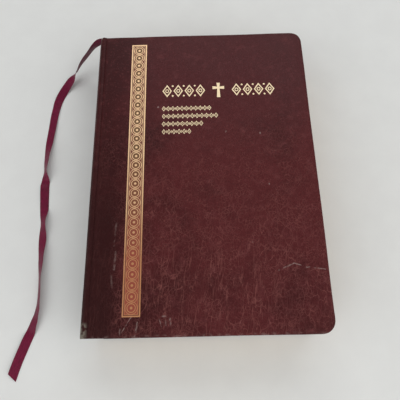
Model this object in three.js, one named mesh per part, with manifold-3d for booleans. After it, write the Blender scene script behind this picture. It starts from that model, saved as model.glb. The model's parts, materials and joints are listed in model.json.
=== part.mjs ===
// A large-print bible in a semi-flexible bonded-leather cover, lying closed on its back cover.
// Millimetres. +Z is up through the thickness, +Y is the head, +X the fore edge, and the spine is at -X.
// The origin is the middle of the book's footprint, on the surface it lies on.
import * as THREE from 'three';
import * as BufferGeometryUtils from 'three/addons/utils/BufferGeometryUtils.js';
import Module from 'manifold-3d';

const wasm = await Module();
wasm.setup();

// Driving dimensions
const coverWidth = 165;           // spine to fore edge
const coverHeight = 235;          // head to tail
const bookThickness = 45;         // over both leathers, at the boards
const coverThickness = 3;         // leather, board and pastedown together
const leatherThickness = 1;
const boardThickness = 1.5;
const edgeWrap = 2;               // leather turned round the board's head, tail and fore edge
const jointWidth = 5.5;           // strip of leather with no board behind it, where the cover hinges
const foreCornerRadius = 9;
const spineCornerRadius = 2;
const coverOverhang = 3.5;        // the covers stand this far proud of the pages
const hingeGap = 0.3;             // running room between each cover and the spine
const fitGap = 0.1;               // room between pieces that are glued or that lie on each other

const spineLeatherThickness = 1.2;
const stiffenerThickness = 0.7;
const linerThickness = 0.3;
const mullThickness = 0.4;
const linerInset = 4.5;           // from head and tail, as the next one is
const mullInset = 12;

const flyleafThickness = 0.4;
const leafGroupThickness = 1.4;   // a group of thin leaves that turns together
const frontLeafGroups = 5;
const backLeafGroups = 3;
const signatureCount = 12;
const pageCornerRadius = 7;
const cornerSegments = 5;

const bandRadius = 1.1;           // the rolled headband and tailband
const bandStandOff = 0.2;
const bandSegments = 10;

const foilThickness = 0.1;
const foilLift = 0.02;
const foilStripWidth = 12;
const foilStripFromSpine = 27.2;
const foilStripHeadMargin = 9;
const foilStripTailMargin = 12.6;
const foilLineWidth = 1;
const medallionRadius = 3.75;
const medallionBore = 2.1;
const medallionPitch = 7.25;
const medallionSegments = 6;
const titleFromSpine = 51.5;      // left edge of the title ornament and of the rules below it
const titleLength = 88.5;
const titleFromHead = 53.5;       // to the middle of the title ornament
const titleHeight = 13;
const crossStroke = 2.2;
const crossArmShare = 0.7;        // of half the cross's height
const scrollHeight = 2;
const ruleLengths = [38.5, 43.5, 32, 23];
const ruleFromHead = 69.2;
const rulePitch = 6.6;
const ruleHeight = 3;

const ribbonRadius = 1;
const ribbonSegments = 4;
const ribbonSteps = 48;
// The marker's route, from the head of the spine down to the surface and along it.
const ribbonRoute = [
  [-80.6, 118.9, 38.6], [-84.4, 119.3, 37.6], [-91.2, 119.2, 31.5], [-99.3, 118.4, 22.5],
  [-107.2, 115.6, 14], [-113.1, 110.4, 8], [-121.9, 99.7, 3], [-128.2, 87.0, 1.3],
  [-131.0, 73.2, 1.1], [-131.9, 59.1, 1.1], [-133.1, 40.6, 1.1], [-133.3, 21.8, 1.1],
  [-132.0, -8.0, 1.1], [-130.4, -31.1, 1.1], [-129.6, -50.0, 1.1], [-128.4, -70.5, 1.1],
  [-127.5, -84.0, 1.1], [-127.6, -96.0, 1.1], [-130.3, -108.0, 1.1], [-134.8, -121.4, 1.1],
  [-138.6, -132.6, 1.1], [-141.4, -143.0, 1.1],
];

// Places worked out from the dimensions
const spineX = -coverWidth / 2;
const foreX = coverWidth / 2;
const headY = coverHeight / 2;
const coverInsideBack = coverThickness;
const coverInsideFront = bookThickness - coverThickness;
const coverStartX = spineX + hingeGap;
const pageHeadY = headY - coverOverhang;
const pageForeX = foreX - coverOverhang;
const wallLowZ = coverInsideBack + hingeGap;
const wallHighZ = coverInsideFront - hingeGap;

const leather = new THREE.MeshStandardMaterial({ color: 0x4a1a22, roughness: 0.45, metalness: 0 });
const board = new THREE.MeshStandardMaterial({ color: 0x8c7a66, roughness: 0.9, metalness: 0 });
const endpaper = new THREE.MeshStandardMaterial({ color: 0x3a1c20, roughness: 0.85, metalness: 0 });
const paper = new THREE.MeshStandardMaterial({ color: 0xece3cf, roughness: 0.85, metalness: 0 });
const cloth = new THREE.MeshStandardMaterial({ color: 0xd9d2c2, roughness: 0.95, metalness: 0 });
const band = new THREE.MeshStandardMaterial({ color: 0x8a2a36, roughness: 0.6, metalness: 0 });
const foil = new THREE.MeshStandardMaterial({ color: 0xd8b46a, roughness: 0.3, metalness: 1 });
const satin = new THREE.MeshStandardMaterial({ color: 0x8c1238, roughness: 0.4, metalness: 0 });

const bible = new THREE.Group();

function addPiece(name, geometry, material) {
  const mesh = new THREE.Mesh(geometry, material);
  mesh.name = name;
  bible.add(mesh);
  return mesh;
}

// A flat plate whose two fore-edge corners and two spine corners are rounded.
function plate({ x0, x1, y0, y1, z0, z1, foreRadius = 0, spineRadius = 0 }) {
  const outline = new THREE.Shape();
  const corner = (x, y, radius, quarter) => {
    const start = quarter * Math.PI / 2;
    if (radius > 0) outline.absarc(x, y, radius, start, start + Math.PI / 2, false);
  };
  outline.moveTo(x0 + spineRadius, y0);
  outline.lineTo(x1 - foreRadius, y0);
  corner(x1 - foreRadius, y0 + foreRadius, foreRadius, -1);
  outline.lineTo(x1, y1 - foreRadius);
  corner(x1 - foreRadius, y1 - foreRadius, foreRadius, 0);
  outline.lineTo(x0 + spineRadius, y1);
  corner(x0 + spineRadius, y1 - spineRadius, spineRadius, 1);
  outline.lineTo(x0, y0 + spineRadius);
  corner(x0 + spineRadius, y0 + spineRadius, spineRadius, 2);
  const geometry = new THREE.ExtrudeGeometry(outline, {
    depth: z1 - z0, bevelEnabled: false, curveSegments: cornerSegments,
  });
  return geometry.translate(0, 0, z0);
}

function toSolid(geometry) {
  const bare = geometry.clone();
  bare.deleteAttribute('normal');
  bare.deleteAttribute('uv');
  const merged = BufferGeometryUtils.mergeVertices(bare, 1e-4);
  return new wasm.Manifold(new wasm.Mesh({
    numProp: 3,
    vertProperties: new Float32Array(merged.attributes.position.array),
    triVerts: new Uint32Array(merged.index.array),
  }));
}

function toGeometry(solid) {
  const mesh = solid.getMesh();
  const geometry = new THREE.BufferGeometry();
  geometry.setAttribute('position', new THREE.BufferAttribute(new Float32Array(mesh.vertProperties), 3));
  geometry.setIndex(new THREE.BufferAttribute(new Uint32Array(mesh.triVerts), 1));
  geometry.computeVertexNormals();
  return geometry;
}

// One cover: a leather tray with its edges turned in, the board in it, and the endpaper pasted over the board.
// side is +1 for the front cover, whose leather is on top, and -1 for the back cover.
function addCover(name, side, outsideZ) {
  const zSpan = (nearOutside, farOutside) => {
    const zs = [outsideZ - side * nearOutside, outsideZ - side * farOutside];
    return { z0: Math.min(...zs), z1: Math.max(...zs) };
  };
  const pocket = { x0: spineX + jointWidth, x1: foreX - edgeWrap, y0: edgeWrap - headY, y1: headY - edgeWrap };
  const pocketRadius = foreCornerRadius - edgeWrap;
  const skin = plate({
    x0: coverStartX, x1: foreX, y0: -headY, y1: headY, ...zSpan(0, coverThickness),
    foreRadius: foreCornerRadius, spineRadius: spineCornerRadius,
  });
  const hollowSpan = zSpan(leatherThickness, 2 * coverThickness);
  const hollow = plate({ ...pocket, ...hollowSpan, foreRadius: pocketRadius });
  addPiece(`${name}_leather`, toGeometry(toSolid(skin).subtract(toSolid(hollow))), leather);

  const inside = {
    x0: pocket.x0 + fitGap, x1: pocket.x1 - fitGap, y0: pocket.y0 + fitGap, y1: pocket.y1 - fitGap,
    foreRadius: pocketRadius - fitGap,
  };
  const boardOuter = leatherThickness + fitGap / 2;
  const boardInner = boardOuter + boardThickness - fitGap;
  addPiece(`${name}_board`, plate({ ...inside, ...zSpan(boardOuter, boardInner) }), board);
  addPiece(`${name}_pastedown`, plate({ ...inside, ...zSpan(boardInner + fitGap, coverThickness) }), endpaper);
}

// The spine: leather outside, then a card stiffener, a paper liner and the mull glued to the signatures.
function addSpine() {
  const layers = [
    ['spine_leather', spineLeatherThickness, 0, leather],
    ['spine_stiffener', stiffenerThickness, coverOverhang, board],
    ['spine_liner', linerThickness, linerInset, paper],
    ['mull', mullThickness, mullInset, cloth],
  ];
  let x = spineX;
  for (const [name, thickness, inset, material] of layers) {
    addPiece(name, plate({
      x0: x, x1: x + thickness, y0: inset - headY, y1: headY - inset, z0: wallLowZ, z1: wallHighZ,
    }), material);
    x += thickness + fitGap;
  }
  return x;
}

// The leaves, from the back flyleaf up to the front one.
function addLeaves(pageSpineX) {
  const innerHeight = coverInsideFront - coverInsideBack;
  const pieceCount = 2 + frontLeafGroups + backLeafGroups + signatureCount;
  const leafTotal = 2 * flyleafThickness + (frontLeafGroups + backLeafGroups) * leafGroupThickness;
  const signatureThickness = (innerHeight - (pieceCount + 1) * fitGap - leafTotal) / signatureCount;
  let z = coverInsideBack + fitGap;
  const lay = (name, thickness, material) => {
    addPiece(name, plate({
      x0: pageSpineX, x1: pageForeX, y0: -pageHeadY, y1: pageHeadY, z0: z, z1: z + thickness,
      foreRadius: pageCornerRadius,
    }), material);
    z += thickness + fitGap;
  };
  lay('back_flyleaf', flyleafThickness, endpaper);
  for (let k = backLeafGroups; k >= 1; k -= 1) lay(`back_leaves_${k}`, leafGroupThickness, paper);
  for (let k = signatureCount; k >= 1; k -= 1) {
    lay(`signature_${String(k).padStart(2, '0')}`, signatureThickness, paper);
  }
  for (let k = frontLeafGroups; k >= 1; k -= 1) lay(`front_leaves_${k}`, leafGroupThickness, paper);
  lay('front_flyleaf', flyleafThickness, endpaper);
}

// Rolled bands that finish the signatures' folds at head and tail.
function addBands(pageSpineX) {
  for (const [name, end] of [['headband', 1], ['tailband', -1]]) {
    const roll = new THREE.CylinderGeometry(bandRadius, bandRadius, wallHighZ - wallLowZ, bandSegments);
    const y = end * (pageHeadY + bandStandOff + bandRadius);
    roll.rotateX(Math.PI / 2);
    roll.translate(pageSpineX - bandRadius / 2, y, (wallHighZ + wallLowZ) / 2);
    addPiece(name, roll, band);
  }
}

// Foil stamped on the front cover: a framed chain of rings beside the spine, and a title ornament with rules under it.
function addFoil() {
  const z0 = bookThickness + foilLift;
  const z1 = z0 + foilThickness;
  const stripX0 = spineX + foilStripFromSpine;
  const stripX1 = stripX0 + foilStripWidth;
  const stripY0 = foilStripTailMargin - headY;
  const stripY1 = headY - foilStripHeadMargin;
  const outer = plate({ x0: stripX0, x1: stripX1, y0: stripY0, y1: stripY1, z0, z1 });
  const inner = plate({
    x0: stripX0 + foilLineWidth, x1: stripX1 - foilLineWidth,
    y0: stripY0 + foilLineWidth, y1: stripY1 - foilLineWidth,
    z0: z0 - foilThickness, z1: z1 + foilThickness,
  });
  addPiece('foil_frame', toGeometry(toSolid(outer).subtract(toSolid(inner))), foil);

  const midX = (stripX0 + stripX1) / 2;
  const midY = (stripY0 + stripY1) / 2;
  const room = stripY1 - stripY0 - 2 * foilLineWidth - 2 * medallionRadius;
  const medallionCount = Math.floor(room / medallionPitch + 1e-6) + 1;
  let chain = null;
  for (let k = 0; k < medallionCount; k += 1) {
    const ring = new THREE.Shape();
    ring.absarc(0, 0, medallionRadius, 0, 2 * Math.PI, false);
    const eye = new THREE.Path();
    eye.absarc(0, 0, medallionBore, 0, 2 * Math.PI, true);
    ring.holes.push(eye);
    const geometry = new THREE.ExtrudeGeometry(ring, {
      depth: foilThickness, bevelEnabled: false, curveSegments: medallionSegments,
    });
    geometry.translate(midX, midY + (k - (medallionCount - 1) / 2) * medallionPitch, z0);
    const solid = toSolid(geometry);
    chain = chain ? chain.add(solid) : solid;
  }
  addPiece('foil_medallions', toGeometry(chain), foil);

  const titleX0 = spineX + titleFromSpine;
  const titleX1 = titleX0 + titleLength;
  const titleY = headY - titleFromHead;
  const crossX = (titleX0 + titleX1) / 2;
  const arm = titleHeight / 2;
  const half = crossStroke / 2;
  const reach = arm * crossArmShare;
  const rightSide = [[half, -arm], [half, half], [reach, half], [reach, 3 * half], [half, 3 * half], [half, arm]];
  const leftSide = rightSide.map(([x, y]) => [-x, y]).reverse();
  const cross = new THREE.Shape([...rightSide, ...leftSide].map(([x, y]) => new THREE.Vector2(x, y)));
  const crossGeometry = new THREE.ExtrudeGeometry(cross, { depth: foilThickness, bevelEnabled: false });
  addPiece('foil_cross', crossGeometry.translate(crossX, titleY, z0), foil);

  const scrollGap = arm;
  const scrollLength = (titleLength - titleHeight) / 2 - scrollGap / 2;
  for (const [name, x0] of [['foil_scroll_left', titleX0], ['foil_scroll_right', titleX1 - scrollLength]]) {
    addPiece(name, plate({
      x0, x1: x0 + scrollLength, y0: titleY - scrollHeight / 2, y1: titleY + scrollHeight / 2, z0, z1,
    }), foil);
  }
  ruleLengths.forEach((length, k) => {
    const y = headY - ruleFromHead - k * rulePitch;
    addPiece(`foil_rule_${k + 1}`, plate({
      x0: titleX0, x1: titleX0 + length, y0: y - ruleHeight / 2, y1: y + ruleHeight / 2, z0, z1,
    }), foil);
  });
}

function addRibbon() {
  const points = ribbonRoute.map(([x, y, z]) => new THREE.Vector3(x, y, z));
  const route = new THREE.CatmullRomCurve3(points, false, 'centripetal');
  const section = new THREE.Shape();
  section.absarc(0, 0, ribbonRadius, 0, 2 * Math.PI, false);
  const geometry = new THREE.ExtrudeGeometry(section, {
    steps: ribbonSteps, extrudePath: route, curveSegments: ribbonSegments, bevelEnabled: false,
  });
  addPiece('ribbon_marker', geometry, satin);
}

addCover('back_cover', -1, 0);
const pageSpineX = addSpine();
addLeaves(pageSpineX);
addBands(pageSpineX);
addRibbon();
addCover('front_cover', 1, bookThickness);
addFoil();

export default bible;
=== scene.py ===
# A large-print bible lying closed, with its ribbon marker out beside it. Metres, +Z up, +Y to the head.
import json
import math
import random

import bmesh
import bpy
from mathutils import Matrix, Vector, noise
from mathutils.bvhtree import BVHTree


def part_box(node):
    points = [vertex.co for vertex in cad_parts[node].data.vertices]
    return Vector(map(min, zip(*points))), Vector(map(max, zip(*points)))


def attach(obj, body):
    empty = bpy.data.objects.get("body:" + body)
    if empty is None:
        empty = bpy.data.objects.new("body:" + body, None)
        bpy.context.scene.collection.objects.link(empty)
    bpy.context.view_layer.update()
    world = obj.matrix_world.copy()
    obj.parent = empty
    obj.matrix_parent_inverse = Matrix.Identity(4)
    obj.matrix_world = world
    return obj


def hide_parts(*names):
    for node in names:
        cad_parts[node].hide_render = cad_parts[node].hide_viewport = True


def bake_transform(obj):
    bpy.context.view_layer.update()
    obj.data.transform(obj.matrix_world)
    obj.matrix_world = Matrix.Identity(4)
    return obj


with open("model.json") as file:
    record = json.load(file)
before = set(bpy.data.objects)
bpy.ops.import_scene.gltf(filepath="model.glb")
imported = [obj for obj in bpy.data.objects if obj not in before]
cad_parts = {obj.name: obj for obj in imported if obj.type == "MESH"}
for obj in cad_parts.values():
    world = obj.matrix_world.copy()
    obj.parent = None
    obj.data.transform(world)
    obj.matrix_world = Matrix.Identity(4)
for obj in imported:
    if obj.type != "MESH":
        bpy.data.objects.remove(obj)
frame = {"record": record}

scene = bpy.context.scene
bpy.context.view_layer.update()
mm = 0.001
random.seed(7)

# Places that several pieces share, taken from the frame
coverLow, coverHigh = [Vector(corner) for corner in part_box("front_cover_leather")]
backLow, backHigh = [Vector(corner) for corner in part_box("back_cover_leather")]
spineLow, spineHigh = [Vector(corner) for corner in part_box("spine_leather")]
stripLow, stripHigh = [Vector(corner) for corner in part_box("foil_frame")]
pageLow, pageHigh = [Vector(corner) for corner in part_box("signature_01")]
coverThickness = coverHigh.z - coverLow.z
frontAxis = Vector((spineLow.x, 0, coverLow.z))
backAxis = Vector((spineLow.x, 0, backHigh.z))
jointX = spineLow.x + 5.2 * mm      # the groove where each cover hinges


# Camera, light and floor

camera = {"place": (-0.00117, -0.11764, 0.31239), "target": (-0.00303, -0.02637, 0.045), "roll": -2.53, "lens": 36.0}


def makeCamera():
    data = bpy.data.cameras.new("camera")
    data.sensor_width = 36
    data.lens = camera["lens"]
    data.clip_start = 0.01
    obj = bpy.data.objects.new("camera", data)
    place = Vector(camera["place"])
    aim = (Vector(camera["target"]) - place).to_track_quat("-Z", "Y").to_matrix().to_4x4()
    obj.matrix_world = Matrix.Translation(place) @ aim @ Matrix.Rotation(math.radians(camera["roll"]), 4, "Z")
    scene.collection.objects.link(obj)
    scene.camera = obj


lights = {
    "window": {"place": (1.35, -0.95, 1.15), "target": (0, 0, 0), "size": (2.6, 1.8), "power": 23.5, "colour": (1, 0.995, 0.98)},
    "leftWall": {"place": (-1.30, -0.75, 1.15), "target": (0, 0, 0), "size": (2.4, 1.8), "power": 17, "colour": (1, 1, 0.985)},
    "headWall": {"place": (0.25, 1.30, 1.40), "target": (0, 0, 0), "size": (1.8, 1.0), "power": 10.0, "colour": (1, 1, 1)},
    "room": {"colour": (0.97, 0.985, 1), "strength": 0.30},
}


def makeLights():
    for name in ("window", "leftWall", "headWall"):
        value = lights[name]
        data = bpy.data.lights.new(name, "AREA")
        data.shape = "RECTANGLE"
        data.size, data.size_y = value["size"]
        data.energy = value["power"]
        data.color = value["colour"]
        obj = bpy.data.objects.new(name, data)
        place = Vector(value["place"])
        aim = (Vector(value["target"]) - place).to_track_quat("-Z", "Y").to_matrix().to_4x4()
        obj.matrix_world = Matrix.Translation(place) @ aim
        scene.collection.objects.link(obj)
    world = bpy.data.worlds.new("room")
    world.use_nodes = True
    background = world.node_tree.nodes["Background"]
    background.inputs["Color"].default_value = (*lights["room"]["colour"], 1)
    background.inputs["Strength"].default_value = lights["room"]["strength"]
    scene.world = world
    scene.view_settings.view_transform = "Standard"


# Helpers for node trees

def addNode(tree, kind, inputs=None, **settings):
    item = tree.nodes.new(kind)
    for key, value in settings.items():
        setattr(item, key, value)
    for key, value in (inputs or {}).items():
        if isinstance(value, bpy.types.NodeSocket):
            tree.links.new(value, item.inputs[key])
        else:
            item.inputs[key].default_value = value
    return item


def calc(tree, operation, a, b=0.0, clamp=False):
    return addNode(tree, "ShaderNodeMath", {0: a, 1: b}, operation=operation, use_clamp=clamp).outputs[0]


def ramp(tree, value, low, high, toLow=0.0, toHigh=1.0):
    inputs = {"Value": value, "From Min": low, "From Max": high, "To Min": toLow, "To Max": toHigh}
    return addNode(tree, "ShaderNodeMapRange", inputs, interpolation_type="SMOOTHSTEP").outputs[0]


def mixColour(tree, factor, a, b):
    item = addNode(tree, "ShaderNodeMix", data_type="RGBA")
    for index, value in ((0, factor), (6, a), (7, b)):
        if isinstance(value, bpy.types.NodeSocket):
            tree.links.new(value, item.inputs[index])
        elif index == 0:
            item.inputs[index].default_value = value
        else:
            item.inputs[index].default_value = (*value, 1)
    return item.outputs[2]


def newGroup(name, inputs, outputs):
    tree = bpy.data.node_groups.new(name, "ShaderNodeTree")
    for label, kind, default in inputs:
        socket = tree.interface.new_socket(label, in_out="INPUT", socket_type=kind)
        if default is not None:
            socket.default_value = default
    for label, kind in outputs:
        tree.interface.new_socket(label, in_out="OUTPUT", socket_type=kind)
    return tree, tree.nodes.new("NodeGroupInput").outputs, tree.nodes.new("NodeGroupOutput").inputs


def useGroup(tree, group, inputs):
    item = addNode(tree, "ShaderNodeGroup", node_tree=group)
    for key, value in inputs.items():
        if isinstance(value, bpy.types.NodeSocket):
            tree.links.new(value, item.inputs[key])
        else:
            item.inputs[key].default_value = value
    return item.outputs


def newMaterial(name, carried=False, **constants):
    # Patterns are placed by where each point is with the book shut. A carried CAD piece has only its own coordinates.
    material = bpy.data.materials.new(name)
    material.use_nodes = True
    tree = material.node_tree
    shader = tree.nodes["Principled BSDF"]
    for key, value in constants.items():
        shader.inputs[key.replace("_", " ")].default_value = value
    if carried:
        where = tree.nodes.new("ShaderNodeTexCoord").outputs["Object"]
    else:
        where = addNode(tree, "ShaderNodeAttribute", attribute_name="rest").outputs["Vector"]
    return material, tree, shader.inputs, where


def addBump(tree, sockets, height, distance, strength=1.0):
    bump = addNode(tree, "ShaderNodeBump", {"Height": height, "Distance": distance, "Strength": strength})
    tree.links.new(bump.outputs[0], sockets["Normal"])


# Effects that several materials use

def makeStroke():
    # How much a point lies on a straight mark between two places: 1 on its line, 0 past its width.
    group, given, out = newGroup("stroke", [
        ("Where", "NodeSocketVector", None), ("Start", "NodeSocketVector", None), ("End", "NodeSocketVector", None),
        ("Width", "NodeSocketFloat", 0.001)], [("Mask", "NodeSocketFloat")])

    def vector(operation, a, b=None, **more):
        return addNode(group, "ShaderNodeVectorMath", {0: a, **({1: b} if b is not None else {}), **more}, operation=operation)

    along = vector("SUBTRACT", given["End"], given["Start"]).outputs[0]
    across = vector("SUBTRACT", given["Where"], given["Start"]).outputs[0]
    reach = calc(group, "DIVIDE", vector("DOT_PRODUCT", across, along).outputs["Value"],
                 vector("DOT_PRODUCT", along, along).outputs["Value"], clamp=True)
    nearest = vector("SCALE", along, **{"Scale": reach}).outputs[0]
    distance = vector("DISTANCE", across, nearest).outputs["Value"]
    ratio = calc(group, "DIVIDE", distance, given["Width"])
    group.links.new(ramp(group, ratio, 1.0, 0.25), out["Mask"])
    return group


def makeGrain():
    # Fine pebbled leather: cells with soft edges, broken up by two sizes of noise.
    group, given, out = newGroup("leatherGrain", [
        ("Where", "NodeSocketVector", None), ("Scale", "NodeSocketFloat", 900.0)],
        [("Height", "NodeSocketFloat"), ("Pores", "NodeSocketFloat")])
    warp = addNode(group, "ShaderNodeTexNoise", {"Vector": given["Where"], "Scale": 260.0, "Detail": 2.0})
    shift = addNode(group, "ShaderNodeVectorMath", {0: warp.outputs["Color"], "Scale": 0.0022}, operation="SCALE").outputs[0]
    moved = addNode(group, "ShaderNodeVectorMath", {0: given["Where"], 1: shift}, operation="ADD").outputs[0]
    cells = addNode(group, "ShaderNodeTexVoronoi", {"Vector": moved, "Scale": given["Scale"]}, feature="DISTANCE_TO_EDGE")
    pebble = ramp(group, cells.outputs["Distance"], 0.0, 0.22)
    fine = addNode(group, "ShaderNodeTexNoise", {"Vector": given["Where"], "Scale": 2600.0, "Detail": 3.0, "Roughness": 0.6})
    height = calc(group, "ADD", calc(group, "MULTIPLY", pebble, 0.65), calc(group, "MULTIPLY", fine.outputs["Fac"], 0.5))
    group.links.new(height, out["Height"])
    group.links.new(calc(group, "SUBTRACT", 1.0, pebble), out["Pores"])
    return group


def makeWrinkles():
    # Thin long creases, stretched along Y: 1 along each crease, 0 between them.
    group, given, out = newGroup("wrinkles", [
        ("Where", "NodeSocketVector", None), ("Across", "NodeSocketFloat", 240.0), ("Along", "NodeSocketFloat", 26.0),
        ("Lean", "NodeSocketFloat", 0.12)], [("Mask", "NodeSocketFloat")])
    scale = addNode(group, "ShaderNodeCombineXYZ", {"X": given["Across"], "Y": given["Along"], "Z": 40.0}).outputs[0]
    turn = addNode(group, "ShaderNodeVectorRotate", {"Vector": given["Where"], "Angle": given["Lean"]}, rotation_type="Z_AXIS")
    stretched = addNode(group, "ShaderNodeVectorMath", {0: turn.outputs[0], 1: scale}, operation="MULTIPLY").outputs[0]
    wave = addNode(group, "ShaderNodeTexNoise", {"Vector": stretched, "Scale": 1.0, "Detail": 2.5, "Roughness": 0.55}).outputs["Fac"]
    ridge = calc(group, "ABSOLUTE", calc(group, "SUBTRACT", wave, 0.5))
    group.links.new(ramp(group, ridge, 0.022, 0.003), out["Mask"])
    return group


stroke = makeStroke()
grain = makeGrain()
wrinkles = makeWrinkles()


def limitBox(tree, where, lowX, highX, lowY, highY, soft):
    # 1 inside a soft-edged rectangle of the surface, 0 outside it.
    split = addNode(tree, "ShaderNodeSeparateXYZ", {0: where}).outputs
    mask = ramp(tree, split["X"], lowX - soft, lowX + soft)
    for value, low, high in ((split["X"], highX + soft, highX - soft), (split["Y"], lowY - soft, lowY + soft),
                             (split["Y"], highY + soft, highY - soft)):
        mask = calc(tree, "MULTIPLY", mask, ramp(tree, value, low, high))
    return mask


# Materials

leather = {
    "deep": (0.036, 0.0030, 0.0036), "body": (0.093, 0.0125, 0.0140), "pale": (0.150, 0.036, 0.038),
    "sheenTone": (0.066, 0.0150, 0.0170), "scuff": (0.34, 0.24, 0.22), "crack": (0.27, 0.088, 0.078), "bare": (0.21, 0.19, 0.155), "grainScale": 950.0, "shade": (0.024, 0.0012, 0.0014),
}
# Marks of use on the front cover: start, end, width in millimetres, and how strongly each one shows.
coverMarks = [
    ((48.4, -76.9), (58.8, -72.5), 0.55, 0.55), ((58.8, -72.5), (67.2, -75.3), 0.5, 0.5),
    ((67.2, -75.3), (79.5, -77.0), 0.55, 0.6), ((-61.5, -42.0), (-62.5, -58.0), 0.8, 0.22),
    ((-61.0, -62.0), (-61.8, -74.0), 1.0, 0.26), ((-63.5, -78.0), (-62.3, -86.0), 0.8, 0.2),
    ((-31.0, -106.5), (-29.6, -111.0), 0.6, 0.6), ((-29.0, -105.0), (-24.5, -104.6), 0.7, 0.45),
    ((-24.0, -106.0), (-23.6, -111.2), 0.8, 0.6), ((-27.2, -107.0), (-26.6, -110.5), 0.7, 0.3),
    ((17.0, 27.5), (17.2, 28.0), 1.0, 0.6), ((43.0, 25.5), (43.2, 25.9), 0.9, 0.5),
    ((46.6, -15.0), (46.9, -15.3), 0.8, 0.5), ((32.0, -57.0), (32.3, -57.3), 0.9, 0.45),
    ((-46.5, -100.0), (-56.0, -116.0), 0.35, 0.7), ((-45.0, -108.0), (-46.5, -116.6), 0.8, 0.4),
    ((-56.0, -112.0), (-56.3, -116.5), 0.5, 0.35), ((-33.7, 49.9), (-33.6, 50.1), 0.9, 0.8),
]


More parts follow.
